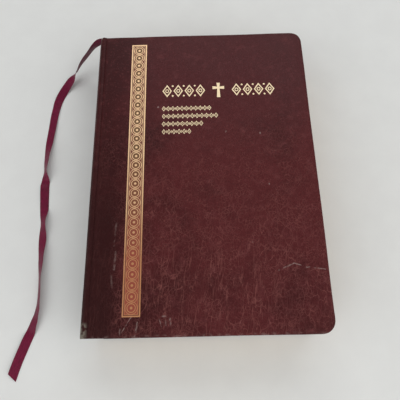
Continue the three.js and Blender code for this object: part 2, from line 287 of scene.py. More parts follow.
def makeLeather(name, marked):
    material, tree, sockets, where = newMaterial(name, Specular_IOR_Level=0.18, IOR=1.45)
    cloud = addNode(tree, "ShaderNodeTexNoise", {"Vector": where, "Scale": 22.0, "Detail": 4.0, "Roughness": 0.6}).outputs["Fac"]
    patch = addNode(tree, "ShaderNodeTexNoise", {"Vector": where, "Scale": 150.0, "Detail": 3.0}).outputs["Fac"]
    split = addNode(tree, "ShaderNodeSeparateXYZ", {0: where}).outputs
    # painted shade: the base colour falls to the deep red towards the spine and towards the tail, where the cover
    # catches less light; the cloud adds random tone
    toneAndPaintedShade = calc(tree, "ADD", ramp(tree, split["X"], -0.085, -0.010, -0.25, 0.12), cloud)
    toneAndPaintedShade = calc(tree, "ADD", toneAndPaintedShade, ramp(tree, split["Y"], -0.02, -0.11, 0.0, -0.13))
    colour = mixColour(tree, ramp(tree, toneAndPaintedShade, 0.25, 0.66), leather["deep"], leather["body"])
    # painted sheen: a greyer, purplish tone towards the head, away from the spine
    paintedHeadSheen = calc(tree, "MULTIPLY", ramp(tree, split["Y"], -0.01, 0.10, 0.0, 0.6), ramp(tree, split["X"], -0.07, -0.04))
    colour = mixColour(tree, paintedHeadSheen, colour, leather["sheenTone"])
    colour = mixColour(tree, ramp(tree, patch, 0.52, 0.78, 0.0, 0.45), colour, leather["pale"])
    pebbles = useGroup(tree, grain, {"Where": where, "Scale": leather["grainScale"]})
    colour = mixColour(tree, calc(tree, "MULTIPLY", pebbles["Pores"], 0.5), colour, leather["deep"])
    fleck = addNode(tree, "ShaderNodeTexNoise", {"Vector": where, "Scale": 620.0, "Detail": 2.0}).outputs["Fac"]
    colour = mixColour(tree, ramp(tree, fleck, 0.55, 0.75, 0.0, 0.35), colour, leather["pale"])
    # painted shade: near-black towards the spine, over the lower half of the cover and on the spine's shoulder; the
    # cracks show less there
    paintedSpineShade = calc(tree, "MULTIPLY", ramp(tree, split["X"], -0.052, -0.068), ramp(tree, split["Y"], 0.055, -0.055))
    colour = mixColour(tree, calc(tree, "MULTIPLY", paintedSpineShade, 0.9), colour, leather["shade"])
    height = calc(tree, "MULTIPLY", pebbles["Height"], 0.5)
    # a web of fine cracks, closer and deeper towards the tail
    bend = addNode(tree, "ShaderNodeTexNoise", {"Vector": where, "Scale": 95.0, "Detail": 3.0}).outputs["Color"]
    bend = addNode(tree, "ShaderNodeVectorMath", {0: bend, "Scale": 0.007}, operation="SCALE").outputs[0]
    bent = addNode(tree, "ShaderNodeVectorMath", {0: where, 1: bend}, operation="ADD").outputs[0]
    reach = calc(tree, "ADD", split["Y"], calc(tree, "MULTIPLY", cloud, 0.10))
    cracks = None
    for scale, squeeze, thin, depth, low, high in (
            (230.0, 0.42, 0.050, 1.0, 0.105, -0.040), (520.0, 0.70, 0.10, 0.8, 0.135, 0.0)):
        flat = addNode(tree, "ShaderNodeVectorMath", {0: bent, 1: (1.0, squeeze, 1.0)}, operation="MULTIPLY").outputs[0]
        web = addNode(tree, "ShaderNodeTexVoronoi", {"Vector": flat, "Scale": scale}, feature="DISTANCE_TO_EDGE")
        web = ramp(tree, web.outputs["Distance"], thin, 0.0)
        patchy = addNode(tree, "ShaderNodeTexNoise", {"Vector": where, "Scale": scale * 0.25}).outputs["Fac"]
        web = calc(tree, "MULTIPLY", web, ramp(tree, patchy, 0.36, 0.62, 0.10, 1.0))
        web = calc(tree, "MULTIPLY", web, ramp(tree, reach, low, high, 0.0, depth))
        cracks = calc(tree, "MAXIMUM", cracks, web) if cracks else web
    shown = ramp(tree, paintedSpineShade, 0.0, 1.0, 0.40, 0.05)
    colour = mixColour(tree, calc(tree, "MULTIPLY", cracks, shown), colour, leather["crack"])
    height = calc(tree, "ADD", height, calc(tree, "MULTIPLY", cracks, 1.1))
    # longer creases run to the tail, most of them right of the middle
    creases = useGroup(tree, wrinkles, {"Where": where})["Mask"]
    lower = limitBox(tree, where, -0.042, 0.046, -0.125, -0.062, 0.014)
    faint = ramp(tree, split["Y"], 0.03, -0.11, 0.03, 0.16)
    creaseMask = calc(tree, "MULTIPLY", creases, calc(tree, "ADD", calc(tree, "MULTIPLY", lower, 0.75), faint), clamp=True)
    colour = mixColour(tree, calc(tree, "MULTIPLY", creaseMask, 0.34), colour, leather["crack"])
    height = calc(tree, "ADD", height, calc(tree, "MULTIPLY", creaseMask, 1.3))
    # rubbed edges: head, tail and fore edge, a millimetre or so wide and broken up
    breakUp = addNode(tree, "ShaderNodeTexNoise", {"Vector": where, "Scale": 320.0, "Detail": 4.0}).outputs["Fac"]
    edge = calc(tree, "MAXIMUM", ramp(tree, calc(tree, "ABSOLUTE", split["Y"]), coverHigh.y - 0.0022, coverHigh.y),
                ramp(tree, split["X"], coverHigh.x - 0.0014, coverHigh.x))
    rub = calc(tree, "MULTIPLY", edge, ramp(tree, breakUp, 0.45, 0.72))
    colour = mixColour(tree, calc(tree, "MULTIPLY", rub, 0.35), colour, leather["scuff"])
    # bare board shows through at the tail of the spine, and a little at its head
    corners = calc(tree, "MAXIMUM", limitBox(tree, where, -0.0840, -0.0782, -0.1190, -0.1085, 0.0016),
                   limitBox(tree, where, -0.0840, -0.0800, 0.1160, 0.1190, 0.0008))
    corners = calc(tree, "MULTIPLY", corners, ramp(tree, split["Z"], 0.033, 0.037))
    bare = calc(tree, "MULTIPLY", corners, ramp(tree, breakUp, 0.34, 0.50))
    colour = mixColour(tree, calc(tree, "MULTIPLY", bare, 0.85), colour, leather["bare"])
    if marked:
        flat = addNode(tree, "ShaderNodeVectorMath", {0: where, 1: (1, 1, 0)}, operation="MULTIPLY").outputs[0]
        wobble = addNode(tree, "ShaderNodeTexNoise", {"Vector": where, "Scale": 420.0, "Detail": 2.0}).outputs["Color"]
        wobble = addNode(tree, "ShaderNodeVectorMath", {0: wobble, 1: (0.5, 0.5, 0.5)}, operation="SUBTRACT").outputs[0]
        wobble = addNode(tree, "ShaderNodeVectorMath", {0: wobble, 1: (0.0016, 0.0016, 0)}, operation="MULTIPLY").outputs[0]
        moved = addNode(tree, "ShaderNodeVectorMath", {0: flat, 1: wobble}, operation="ADD").outputs[0]
        for start, end, width, strength in coverMarks:
            mark = useGroup(tree, stroke, {
                "Where": moved, "Start": (start[0] * mm, start[1] * mm, 0), "End": (end[0] * mm, end[1] * mm, 0),
                "Width": width * mm})["Mask"]
            mark = calc(tree, "MULTIPLY", mark, calc(tree, "MULTIPLY", ramp(tree, breakUp, 0.38, 0.6), strength))
            colour = mixColour(tree, mark, colour, leather["scuff"])
    tree.links.new(colour, sockets["Base Color"])
    rough = calc(tree, "ADD", ramp(tree, cloud, 0.3, 0.7, -0.04, 0.05), ramp(tree, split["Y"], -0.10, 0.08, 0.50, 0.33))
    rough = calc(tree, "ADD", rough, calc(tree, "MULTIPLY", pebbles["Pores"], 0.12))
    rough = calc(tree, "ADD", rough, calc(tree, "MULTIPLY", bare, 0.35))
    tree.links.new(rough, sockets["Roughness"])
    addBump(tree, sockets, height, 0.00020, 0.8)
    return material


foilValues = {
    "bright": (0.92, 0.61, 0.345), "copper": (0.42, 0.150, 0.070), "rubbed": (0.50, 0.220, 0.095), "olive": (0.155, 0.080, 0.030),
    "ground": (0.15, 0.044, 0.024), "rust": (0.30, 0.060, 0.034),
}


def makeFoil(name, fresh, worn, metal):
    # Stamped foil: fresh at the head, rubbed down to the colour under it towards the tail.
    material, tree, sockets, where = newMaterial(name, IOR=1.5)
    split = addNode(tree, "ShaderNodeSeparateXYZ", {0: where}).outputs
    speckle = addNode(tree, "ShaderNodeTexNoise", {"Vector": where, "Scale": 900.0, "Detail": 4.0, "Roughness": 0.7}).outputs["Fac"]
    cloud = addNode(tree, "ShaderNodeTexNoise", {"Vector": where, "Scale": 60.0, "Detail": 2.0}).outputs["Fac"]
    age = ramp(tree, split["Y"], 0.03, -0.085)
    age = calc(tree, "ADD", age, calc(tree, "MULTIPLY", calc(tree, "SUBTRACT", cloud, 0.5), 0.5), clamp=True)
    colour = mixColour(tree, age, fresh, worn)
    flecks = calc(tree, "MULTIPLY", ramp(tree, speckle, 0.60, 0.70), ramp(tree, age, 0.0, 1.0, 0.25, 0.55))
    colour = mixColour(tree, flecks, colour, foilValues["ground"])
    tree.links.new(colour, sockets["Base Color"])
    tree.links.new(ramp(tree, calc(tree, "ADD", age, flecks), 0.0, 1.5, metal, metal * 0.55), sockets["Metallic"])
    tree.links.new(ramp(tree, speckle, 0.3, 0.8, 0.34, 0.55), sockets["Roughness"])
    addBump(tree, sockets, speckle, 0.00003, 0.5)
    return material


def makePaper():
    # Thin cream paper with a faint fibre.
    material, tree, sockets, where = newMaterial("leafPaper", Specular_IOR_Level=0.3)
    fibre = addNode(tree, "ShaderNodeTexNoise", {"Vector": where, "Scale": 700.0, "Detail": 4.0}).outputs["Fac"]
    cloud = addNode(tree, "ShaderNodeTexNoise", {"Vector": where, "Scale": 24.0, "Detail": 3.0}).outputs["Fac"]
    colour = mixColour(tree, ramp(tree, fibre, 0.3, 0.7), (0.80, 0.745, 0.63), (0.75, 0.69, 0.565))
    colour = mixColour(tree, ramp(tree, cloud, 0.5, 0.8, 0.0, 0.35), colour, (0.70, 0.61, 0.46))
    tree.links.new(colour, sockets["Base Color"])
    tree.links.new(ramp(tree, fibre, 0.3, 0.7, 0.78, 0.9), sockets["Roughness"])
    addBump(tree, sockets, fibre, 0.00003, 0.5)
    return material


def makeGilt():
    # The gilded edges of the leaves: fine lines along the stack, rubbed thin in places.
    material, tree, sockets, where = newMaterial("giltEdge", IOR=1.5)
    fine = addNode(tree, "ShaderNodeMapping", {"Vector": where, "Scale": (22, 22, 9000)}).outputs[0]
    layers = addNode(tree, "ShaderNodeTexNoise", {"Vector": fine, "Scale": 1.0, "Detail": 3.0, "Roughness": 0.6}).outputs["Fac"]
    wide = addNode(tree, "ShaderNodeMapping", {"Vector": where, "Scale": (55, 55, 420)}).outputs[0]
    worn = addNode(tree, "ShaderNodeTexNoise", {"Vector": wide, "Scale": 1.0, "Detail": 5.0, "Roughness": 0.65}).outputs["Fac"]
    rubbed = ramp(tree, worn, 0.52, 0.72)
    colour = mixColour(tree, ramp(tree, layers, 0.35, 0.65), (0.72, 0.46, 0.18), (0.40, 0.23, 0.08))
    colour = mixColour(tree, calc(tree, "MULTIPLY", rubbed, 0.7), colour, (0.62, 0.50, 0.33))
    tree.links.new(colour, sockets["Base Color"])
    tree.links.new(ramp(tree, rubbed, 0.0, 1.0, 0.78, 0.25), sockets["Metallic"])
    tree.links.new(calc(tree, "ADD", ramp(tree, rubbed, 0.0, 1.0, 0.36, 0.6), calc(tree, "MULTIPLY", layers, 0.1)), sockets["Roughness"])
    addBump(tree, sockets, layers, 0.00008, 0.8)
    return material


def makeEndpaper(name, carried):
    material, tree, sockets, where = newMaterial(name, carried, Specular_IOR_Level=0.3)
    fibre = addNode(tree, "ShaderNodeTexNoise", {"Vector": where, "Scale": 520.0, "Detail": 5.0, "Roughness": 0.65}).outputs["Fac"]
    cloud = addNode(tree, "ShaderNodeTexNoise", {"Vector": where, "Scale": 30.0, "Detail": 3.0}).outputs["Fac"]
    colour = mixColour(tree, ramp(tree, cloud, 0.3, 0.7), (0.060, 0.016, 0.018), (0.078, 0.022, 0.024))
    colour = mixColour(tree, ramp(tree, fibre, 0.5, 0.75, 0.0, 0.3), colour, (0.14, 0.06, 0.055))
    tree.links.new(colour, sockets["Base Color"])
    tree.links.new(ramp(tree, fibre, 0.3, 0.7, 0.7, 0.85), sockets["Roughness"])
    addBump(tree, sockets, fibre, 0.00004, 0.6)
    return material


def makeWeave(name, light, dark, count, sheen, rough):
    # Woven thread: over-and-under ribs along the piece's own UV map.
    material, tree, sockets, _ = newMaterial(name, Sheen_Weight=sheen, Sheen_Roughness=0.35, Specular_IOR_Level=0.22)
    strip = addNode(tree, "ShaderNodeUVMap").outputs[0]
    split = addNode(tree, "ShaderNodeSeparateXYZ", {0: strip}).outputs
    ribs = calc(tree, "SINE", calc(tree, "MULTIPLY", split["Y"], count * 2 * math.pi))
    threads = calc(tree, "SINE", calc(tree, "MULTIPLY", split["X"], 34 * 2 * math.pi))
    cloth = calc(tree, "MULTIPLY", ribs, threads)
    slub = addNode(tree, "ShaderNodeTexNoise", {"Vector": addNode(
        tree, "ShaderNodeMapping", {"Vector": strip, "Scale": (26, 90, 1)}).outputs[0], "Scale": 1.0, "Detail": 3.0}).outputs["Fac"]
    colour = mixColour(tree, ramp(tree, calc(tree, "ADD", calc(tree, "MULTIPLY", cloth, 0.15), slub), 0.3, 0.75), dark, light)
    tree.links.new(colour, sockets["Base Color"])
    tree.links.new(ramp(tree, slub, 0.3, 0.7, rough - 0.08, rough + 0.08), sockets["Roughness"])
    addBump(tree, sockets, calc(tree, "ADD", cloth, slub), 0.00003, 0.5)
    return material


def makePlain(name, light, dark, scale, rough, bump):
    # A matte mottled material for card, cloth and the floor.
    material, tree, sockets, where = newMaterial(name, carried=True, Specular_IOR_Level=0.3)
    fine = addNode(tree, "ShaderNodeTexNoise", {"Vector": where, "Scale": scale, "Detail": 5.0, "Roughness": 0.6}).outputs["Fac"]
    tree.links.new(mixColour(tree, ramp(tree, fine, 0.3, 0.7), light, dark), sockets["Base Color"])
    tree.links.new(ramp(tree, fine, 0.3, 0.7, rough - 0.05, rough + 0.05), sockets["Roughness"])
    addBump(tree, sockets, fine, bump, 0.5)
    return material


def makeStripes():
    # Silk wound over the bands: two colours by turns, with fine threads along each turn.
    material, tree, sockets, where = newMaterial("bandSilk", Sheen_Weight=0.3, Sheen_Roughness=0.4)
    split = addNode(tree, "ShaderNodeSeparateXYZ", {0: where}).outputs
    turns = calc(tree, "SINE", calc(tree, "MULTIPLY", split["Z"], 2 * math.pi / 0.0026))
    threads = calc(tree, "SINE", calc(tree, "MULTIPLY", split["Z"], 2 * math.pi / 0.00022))
    colour = mixColour(tree, ramp(tree, turns, -0.15, 0.15), (0.16, 0.012, 0.02), (0.52, 0.38, 0.20))
    colour = mixColour(tree, ramp(tree, threads, -1.0, 1.0, 0.0, 0.3), colour, (0.05, 0.01, 0.01))
    tree.links.new(colour, sockets["Base Color"])
    tree.links.new(ramp(tree, threads, -1.0, 1.0, 0.5, 0.7), sockets["Roughness"])
    addBump(tree, sockets, threads, 0.00004, 0.6)
    return material


leatherFront = makeLeather("frontLeather", True)
leatherPlain = makeLeather("plainLeather", False)
goldFoil = makeFoil("goldFoil", foilValues["bright"], foilValues["rubbed"], 0.35)
oliveFoil = makeFoil("oliveFoil", foilValues["olive"], foilValues["rust"], 0.3)
groundFoil = makeFoil("groundFoil", foilValues["ground"], foilValues["rust"], 0.2)
titleFoil = makeFoil("titleFoil", (0.90, 0.72, 0.46), foilValues["copper"], 0.25)
leafPaper = makePaper()
giltEdge = makeGilt()
endpaper = makeEndpaper("endpaper", False)
pasted = makeEndpaper("pastedPaper", True)
satin = makeWeave("satin", (0.225, 0.0022, 0.046), (0.070, 0.0008, 0.013), 900, 0.04, 0.38)
bandSilk = makeStripes()
card = makePlain("card", (0.34, 0.27, 0.20), (0.24, 0.18, 0.13), 900, 0.85, 0.00004)
mullCloth = makePlain("mullCloth", (0.66, 0.61, 0.50), (0.42, 0.38, 0.30), 2400, 0.9, 0.00010)
floorPaint = makePlain("floorPaint", (0.76, 0.765, 0.75), (0.74, 0.743, 0.73), 40, 0.6, 0.00002)
print("materials made")


# Helpers for meshes

def finishMesh(name, bm, material, smooth=True):
    for edge in bm.edges:
        edge.smooth = edge.calc_face_angle(0) < math.radians(52)
    mesh = bpy.data.meshes.new(name)
    bm.to_mesh(mesh)
    bm.free()
    rest = mesh.attributes.new("rest", "FLOAT_VECTOR", "POINT")
    for vert in mesh.vertices:
        rest.data[vert.index].vector = vert.co
    mesh.materials.append(material)
    for polygon in mesh.polygons:
        polygon.use_smooth = smooth
    obj = bpy.data.objects.new(name, mesh)
    scene.collection.objects.link(obj)
    return obj


def cutGrid(bm, axis, places):
    # Cuts the whole mesh across one axis at each place, so that its faces can bend there.
    normal = Vector((0, 0, 0))
    normal[axis] = 1
    for place in places:
        geometry = bm.verts[:] + bm.edges[:] + bm.faces[:]
        bmesh.ops.bisect_plane(bm, geom=geometry, dist=1e-7, plane_co=normal * place, plane_no=normal)


def spread(low, high, count):
    return [low + (high - low) * (step + 1) / (count + 1) for step in range(count)]


def roundedSheet(bm, low, high, z, foreRadius, spineRadius, segments=8):
    # A flat face of a cover's or a leaf's outline, with its two fore-edge corners rounded and its spine corners eased.
    grid = bmesh.ops.create_grid(bm, x_segments=1, y_segments=1, size=0.5)
    bmesh.ops.scale(bm, vec=(high[0] - low[0], high[1] - low[1], 1), verts=grid["verts"])
    bmesh.ops.translate(bm, vec=((high[0] + low[0]) / 2, (high[1] + low[1]) / 2, z), verts=grid["verts"])
    for radius, atFore in ((foreRadius, True), (spineRadius, False)):
        if radius > 0:
            middle = (high[0] + low[0]) / 2
            corners = [vert for vert in bm.verts if (vert.co.x > middle) == atFore]
            bmesh.ops.bevel(bm, geom=corners, affect="VERTICES", offset=radius * 1.0, offset_type="OFFSET",
                            segments=segments, profile=0.5, material=-1)
    bm.faces.ensure_lookup_table()
    return bm.faces[0]


def growFace(bm, face, first):
    # Extrudes one face on the spot and returns its copy. The face itself stays only as the first end of a solid.
    grown = bmesh.ops.extrude_face_region(bm, geom=[face])["geom"]
    if not first:
        bmesh.ops.delete(bm, geom=[face], context="FACES_ONLY")
    return [item for item in grown if isinstance(item, bmesh.types.BMFace)][0]


makeCamera()
makeLights()


# The floor it lies on

def makeFloor():
    bm = bmesh.new()
    bmesh.ops.create_grid(bm, x_segments=8, y_segments=8, size=4)
    bmesh.ops.translate(bm, vec=(0, 0, -0.00002), verts=bm.verts)
    finishMesh("floor", bm, floorPaint)


makeFloor()
print("camera, light and floor set")


# The ribbon marker

ribbon = {"width": 7.0 * mm, "thickness": 0.35 * mm, "length": 0.309, "steps": 150}
# Its middle line in millimetres, from the head of the spine to the cut end.
ribbonRoute = [
    (-80.6, 118.9, 38.6), (-84.4, 119.3, 37.6), (-91.2, 119.2, 31.5), (-99.3, 118.4, 22.5),
    (-107.2, 115.6, 14), (-113.1, 110.4, 8), (-121.9, 99.7, 3), (-128.2, 87.0, 1.3),
    (-131.0, 73.2, 1.1), (-131.9, 59.1, 1.1), (-133.1, 40.6, 1.1), (-133.3, 21.8, 1.1),
    (-132.0, -8.0, 1.1), (-130.4, -31.1, 1.1), (-129.6, -50.0, 1.1), (-128.4, -70.5, 1.1),
    (-127.5, -84.0, 1.1), (-127.6, -96.0, 1.1), (-130.3, -108.0, 1.1), (-134.8, -121.4, 1.1),
    (-138.6, -132.6, 1.1), (-141.4, -143.0, 1.1),
]
# How far the ribbon leans out of the level, in degrees, at shares of its length.
ribbonLean = [
    (0, -86), (0.016, -82), (0.063, -57), (0.093, -64), (0.144, -62), (0.184, 5), (0.224, 25), (0.291, -4), (0.378, -14),
    (0.439, -39), (0.473, -54), (0.520, 22), (0.573, 4), (0.622, -40), (0.664, -16), (0.718, -40), (0.769, -58),
    (0.817, -54), (0.849, -44), (0.872, -26), (0.912, 14), (1, 16),
]


def smoothPath(points, steps):
    # Points at equal steps along a Catmull-Rom curve through the route.
    knots = [Vector(point) * mm for point in points]
    knots = [2 * knots[0] - knots[1]] + knots + [2 * knots[-1] - knots[-2]]
    fine = []
    for k in range(1, len(knots) - 2):
        p0, p1, p2, p3 = knots[k - 1:k + 3]
        for step in range(24):
            t = step / 24
            fine.append(0.5 * (2 * p1 + (p2 - p0) * t + (2 * p0 - 5 * p1 + 4 * p2 - p3) * t * t
                               + (3 * p1 - p0 - 3 * p2 + p3) * t ** 3))
    fine.append(knots[-2])
    lengths = [0.0]
    for a, b in zip(fine, fine[1:]):
        lengths.append(lengths[-1] + (b - a).length)
    path = []
    k = 0
    for step in range(steps + 1):
        goal = lengths[-1] * step / steps
        while k < len(fine) - 2 and lengths[k + 1] < goal:
            k += 1
        share = (goal - lengths[k]) / (lengths[k + 1] - lengths[k])
        path.append(fine[k].lerp(fine[k + 1], min(1, max(0, share))))
    return path, lengths[-1]


def leanAt(share):
    for (a, low), (b, high) in zip(ribbonLean, ribbonLean[1:]):
        if share <= b:
            t = (share - a) / (b - a)
            return math.radians(low + (high - low) * t * t * (3 - 2 * t))
    return math.radians(ribbonLean[-1][1])


def makeRibbon():
    path, length = smoothPath(ribbonRoute, ribbon["steps"])
    print("ribbon route", round(length, 4))
    half = ribbon["width"] / 2
    thick = ribbon["thickness"] / 2
    frames = []
    for k, point in enumerate(path):
        share = k / ribbon["steps"]
        lean = leanAt(share)
        along = (path[min(k + 1, len(path) - 1)] - path[max(k - 1, 0)]).normalized()
        level = along.cross(Vector((0, 0, 1))).normalized()
        rise = level.cross(along).normalized()
        width = level * math.cos(lean) + rise * math.sin(lean)
        face = along.cross(width).normalized()
        lowest = half * abs(width.z) + thick * abs(face.z) + 0.00005
        onFloor = min(1.0, max(0.0, (share - 0.22) / 0.08))
        lifted = Vector((point.x, point.y, max(lowest, point.z * (1 - onFloor) + lowest * onFloor)))
        frames.append(Matrix((width, face, along)).transposed().to_4x4())
        frames[-1].translation = lifted
    bm = bmesh.new()
    section = bmesh.ops.create_circle(bm, cap_ends=True, segments=12, radius=1.0)["verts"]
    bmesh.ops.scale(bm, vec=(half, thick, 1), verts=section)
    for vert in section:      # squarer than an ellipse, so that the edge reads as a woven selvedge
        vert.co.y = math.copysign(min(abs(vert.co.y) * 1.5, thick), vert.co.y)
    bmesh.ops.transform(bm, matrix=frames[0], verts=section)
    face = bm.faces[:][0]
    for a, b in zip(frames, frames[1:]):
        face = growFace(bm, face, a is frames[0])
        bmesh.ops.transform(bm, matrix=b @ a.inverted(), verts=face.verts[:])
    # the end is cut on the slant
    last = frames[-1]
    for vert in face.verts:
        local = last.inverted() @ vert.co
        vert.co = last @ (local + Vector((0, 0, -local.x * 0.55)))
    bmesh.ops.recalc_face_normals(bm, faces=bm.faces)
    layer = bm.loops.layers.uv.new("strip")
    for item in bm.faces:
        for loop in item.loops:
            co = loop.vert.co
            k = min(range(0, len(frames)), key=lambda n: (frames[n].translation - co).length_squared)
            local = frames[k].inverted() @ co
            loop[layer].uv = (local.x / ribbon["width"] + 0.5, k / ribbon["steps"] + local.z / length)
    obj = finishMesh("ribbon", bm, satin)
    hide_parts("ribbon_marker")
    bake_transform(obj)


def makeRibbonRoot():
    # The short stretch that comes up from behind the headband and goes over the end of the spine.
    low, high = Vector((-80.86, 115.0, 35.3)) * mm, Vector((-80.50, 119.05, 41.8)) * mm
    bm = bmesh.new()
    verts = bmesh.ops.create_cube(bm, size=1)["verts"]
    bmesh.ops.scale(bm, vec=high - low, verts=verts)
    bmesh.ops.translate(bm, vec=(low + high) / 2, verts=verts)
    bmesh.ops.bevel(bm, geom=bm.edges[:], affect="EDGES", offset=0.12 * mm, offset_type="OFFSET", segments=3,
                    profile=0.5, material=-1)
    layer = bm.loops.layers.uv.new("strip")
    for item in bm.faces:
        for loop in item.loops:
            co = loop.vert.co
            loop[layer].uv = ((co.z - low.z) / ribbon["width"], (co.y - high.y) / ribbon["length"])
    obj = finishMesh("ribbon_root", bm, satin)
    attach(obj, "text_block")


makeRibbon()
makeRibbonRoot()
print("ribbon made")


# The covers' leather

cover = {
    "foreRadius": 9 * mm, "spineRadius": 1.2 * mm, "rim": 1.1 * mm, "wrap": 2.0 * mm, "pocketDepth": 2.0 * mm,
    "edgeDrop": 0.75 * mm, "edgeReach": 6 * mm, "sway": 0.35 * mm, "edgeWander": 0.45 * mm,
}


def coverFall(x, y):
    # How far the outer leather lies under its highest level: it rolls down to the edges, sways and is creased at the tail.
    toEdge = min(coverHigh.x - x, coverHigh.y - abs(y))
    roll = max(0.0, 1 - toEdge / cover["edgeReach"])
    fall = cover["edgeDrop"] * roll ** 2.2
    fall += cover["sway"] * (0.5 + 0.5 * noise.noise(Vector((x * 17, y * 13, 3.1))))
    fall += 0.12 * mm * (0.5 + 0.5 * noise.noise(Vector((x * 60, y * 42, 8.0))))
    pucker = max(0.0, 1 - (coverHigh.y + y) / (16 * mm)) if y < 0 else 0.0
    fall += 0.16 * mm * pucker * noise.noise(Vector((x * 420, y * 40, 1.0)))
    crease = max(0.0, 1 - abs(y + 0.083) / 0.045) * max(0.0, 1 - abs(x - 0.026) / 0.045)
    fall += 0.16 * mm * crease * noise.noise(Vector((x * 230, y * 32, 5.0)))
    return fall


def coverTop(x, y):
    return coverHigh.z - coverFall(x, y)


def shapeCover(bm, low, high, side):
    # Wanders the edges a little, and gives the outer leather its roll and sway. side is 1 for the front cover.
    outside = high.z if side > 0 else low.z
    inside = low.z if side > 0 else high.z
    depth = abs(outside - inside)
    for vert in bm.verts:
        x, y, z = vert.co
        near = max(0.0, 1 - (high.y - abs(y)) / (9 * mm))
        vert.co.y += math.copysign(cover["edgeWander"] * near * (noise.noise(Vector((x * 24, side * 3, y))) - 0.35), y)
        foreNear = max(0.0, 1 - (high.x - x) / (9 * mm))
        vert.co.x += cover["edgeWander"] * foreNear * (noise.noise(Vector((y * 17, side * 5, 2.0))) - 0.35)
        share = 1 - abs(z - outside) / depth
        vert.co.z -= side * coverFall(x, y if side > 0 else -y) * max(0.0, share) * (1 if side > 0 else 0.35)


def makeCoverSkin(name, low, high, side, material, node, body):
    bm = bmesh.new()
    start = (jointX, low.y)
    outer = roundedSheet(bm, start, (high.x, high.y), high.z if side > 0 else low.z, cover["foreRadius"], cover["spineRadius"])
    inner = growFace(bm, outer, True)
    bmesh.ops.translate(bm, vec=(0, 0, -side * (high.z - low.z)), verts=inner.verts[:])
    bmesh.ops.recalc_face_normals(bm, faces=bm.faces)
    rims = [edge for edge in bm.edges if len({round(vert.co.z, 6) for vert in edge.verts}) == 1]
    bmesh.ops.bevel(bm, geom=rims, affect="EDGES", offset=cover["rim"], offset_type="OFFSET", segments=4,
                    profile=0.5, material=-1)
    innerZ = low.z if side > 0 else high.z
    inner = max((face for face in bm.faces if abs(face.calc_center_median().z - innerZ) < 1e-6), key=lambda face: face.calc_area())
    bmesh.ops.inset_region(bm, faces=[inner], thickness=cover["wrap"] - cover["rim"], use_even_offset=True)
    bmesh.ops.inset_region(bm, faces=[inner], thickness=0.03 * mm, use_even_offset=True)
    bmesh.ops.translate(bm, vec=(0, 0, side * cover["pocketDepth"]), verts=inner.verts[:])
    cutGrid(bm, 0, spread(jointX + 1 * mm, high.x - 1 * mm, 90))
    cutGrid(bm, 1, spread(low.y + 1 * mm, high.y - 1 * mm, 96))
    shapeCover(bm, low, high, side)
    bmesh.ops.recalc_face_normals(bm, faces=bm.faces)
    obj = finishMesh(name, bm, material)
    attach(obj, body)
    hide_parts(node)
    return obj


frontSkin = makeCoverSkin("front_skin", coverLow, coverHigh, 1, leatherFront, "front_cover_leather", "front_cover")
makeCoverSkin("back_skin", backLow, backHigh, -1, leatherPlain, "back_cover_leather", "back_cover")
print("cover leather made")


# The spine's leather, in two halves that meet at its middle

spine = {"thickness": 1.0 * mm, "shoulder": 4.2 * mm, "bulge": 0.45 * mm, "lip": 0.9 * mm, "cuts": 60}


def spineProfile():
    # From the groove in the cover, over the shoulder and down to the middle of the spine, as x and height over the floor.
    middle = (coverHigh.z + backLow.z) / 2
    radius = spine["shoulder"]
    centre = Vector((spineLow.x + radius + 0.1 * mm, coverHigh.z - 0.15 * mm - radius))
    points = [Vector((jointX + spine["lip"], coverHigh.z - 1.15 * mm)), Vector((jointX + 0.1 * mm, coverHigh.z - 0.75 * mm))]
    for step in range(9):
        turn = math.radians(90 + 8 + 82 * step / 8)
        points.append(centre + radius * Vector((math.cos(turn), math.sin(turn))))
    for step in range(1, 9):
        share = step / 8
        z = centre.y + (middle - centre.y) * share
        points.append(Vector((spineLow.x + 0.1 * mm - spine["bulge"] * math.sin(share * math.pi / 2), z)))
    return points, middle


def makeSpineHalf(name, side):
    points, middle = spineProfile()
    bm = bmesh.new()
    chain = []
    for x, z in points:
        chain.append(bm.verts.new((x, spineLow.y, z if side > 0 else 2 * middle - z)))
    edges = [bm.edges.new(pair) for pair in zip(chain, chain[1:])]
    grown = bmesh.ops.extrude_edge_only(bm, edges=edges)["geom"]
    verts = [item for item in grown if isinstance(item, bmesh.types.BMVert)]
    bmesh.ops.translate(bm, vec=(0, spineHigh.y - spineLow.y, 0), verts=verts)
    bmesh.ops.recalc_face_normals(bm, faces=bm.faces)
    centre = Vector((jointX, 0, middle))
    if sum(((face.calc_center_median() - centre) * Vector((1, 0, 1))).dot(face.normal) for face in bm.faces) < 0:
        bmesh.ops.reverse_faces(bm, faces=bm.faces[:])
    bmesh.ops.solidify(bm, geom=bm.faces[:], thickness=spine["thickness"])
    cutGrid(bm, 1, [spineLow.y + 0.4 * mm, spineHigh.y - 0.4 * mm] + spread(spineLow.y, spineHigh.y, spine["cuts"]))
    for vert in bm.verts:
        nearEnd = max(0.0, 1 - (spineHigh.y - abs(vert.co.y)) / (1.2 * mm))
        inward = (Vector((jointX + 1 * mm, vert.co.y, middle)) - vert.co).normalized()
        vert.co += inward * 0.35 * mm * nearEnd ** 2
        vert.co.x += 0.12 * mm * noise.noise(Vector((vert.co.y * 30, vert.co.z * 40, 4)))
    bmesh.ops.recalc_face_normals(bm, faces=bm.faces)
    obj = finishMesh(name, bm, leatherPlain)
    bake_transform(obj)
    return obj


upper = makeSpineHalf("spine_upper", 1)
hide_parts("spine_leather")
makeSpineHalf("spine_lower", -1)
print("spine made")


# Foil stamped on the front cover

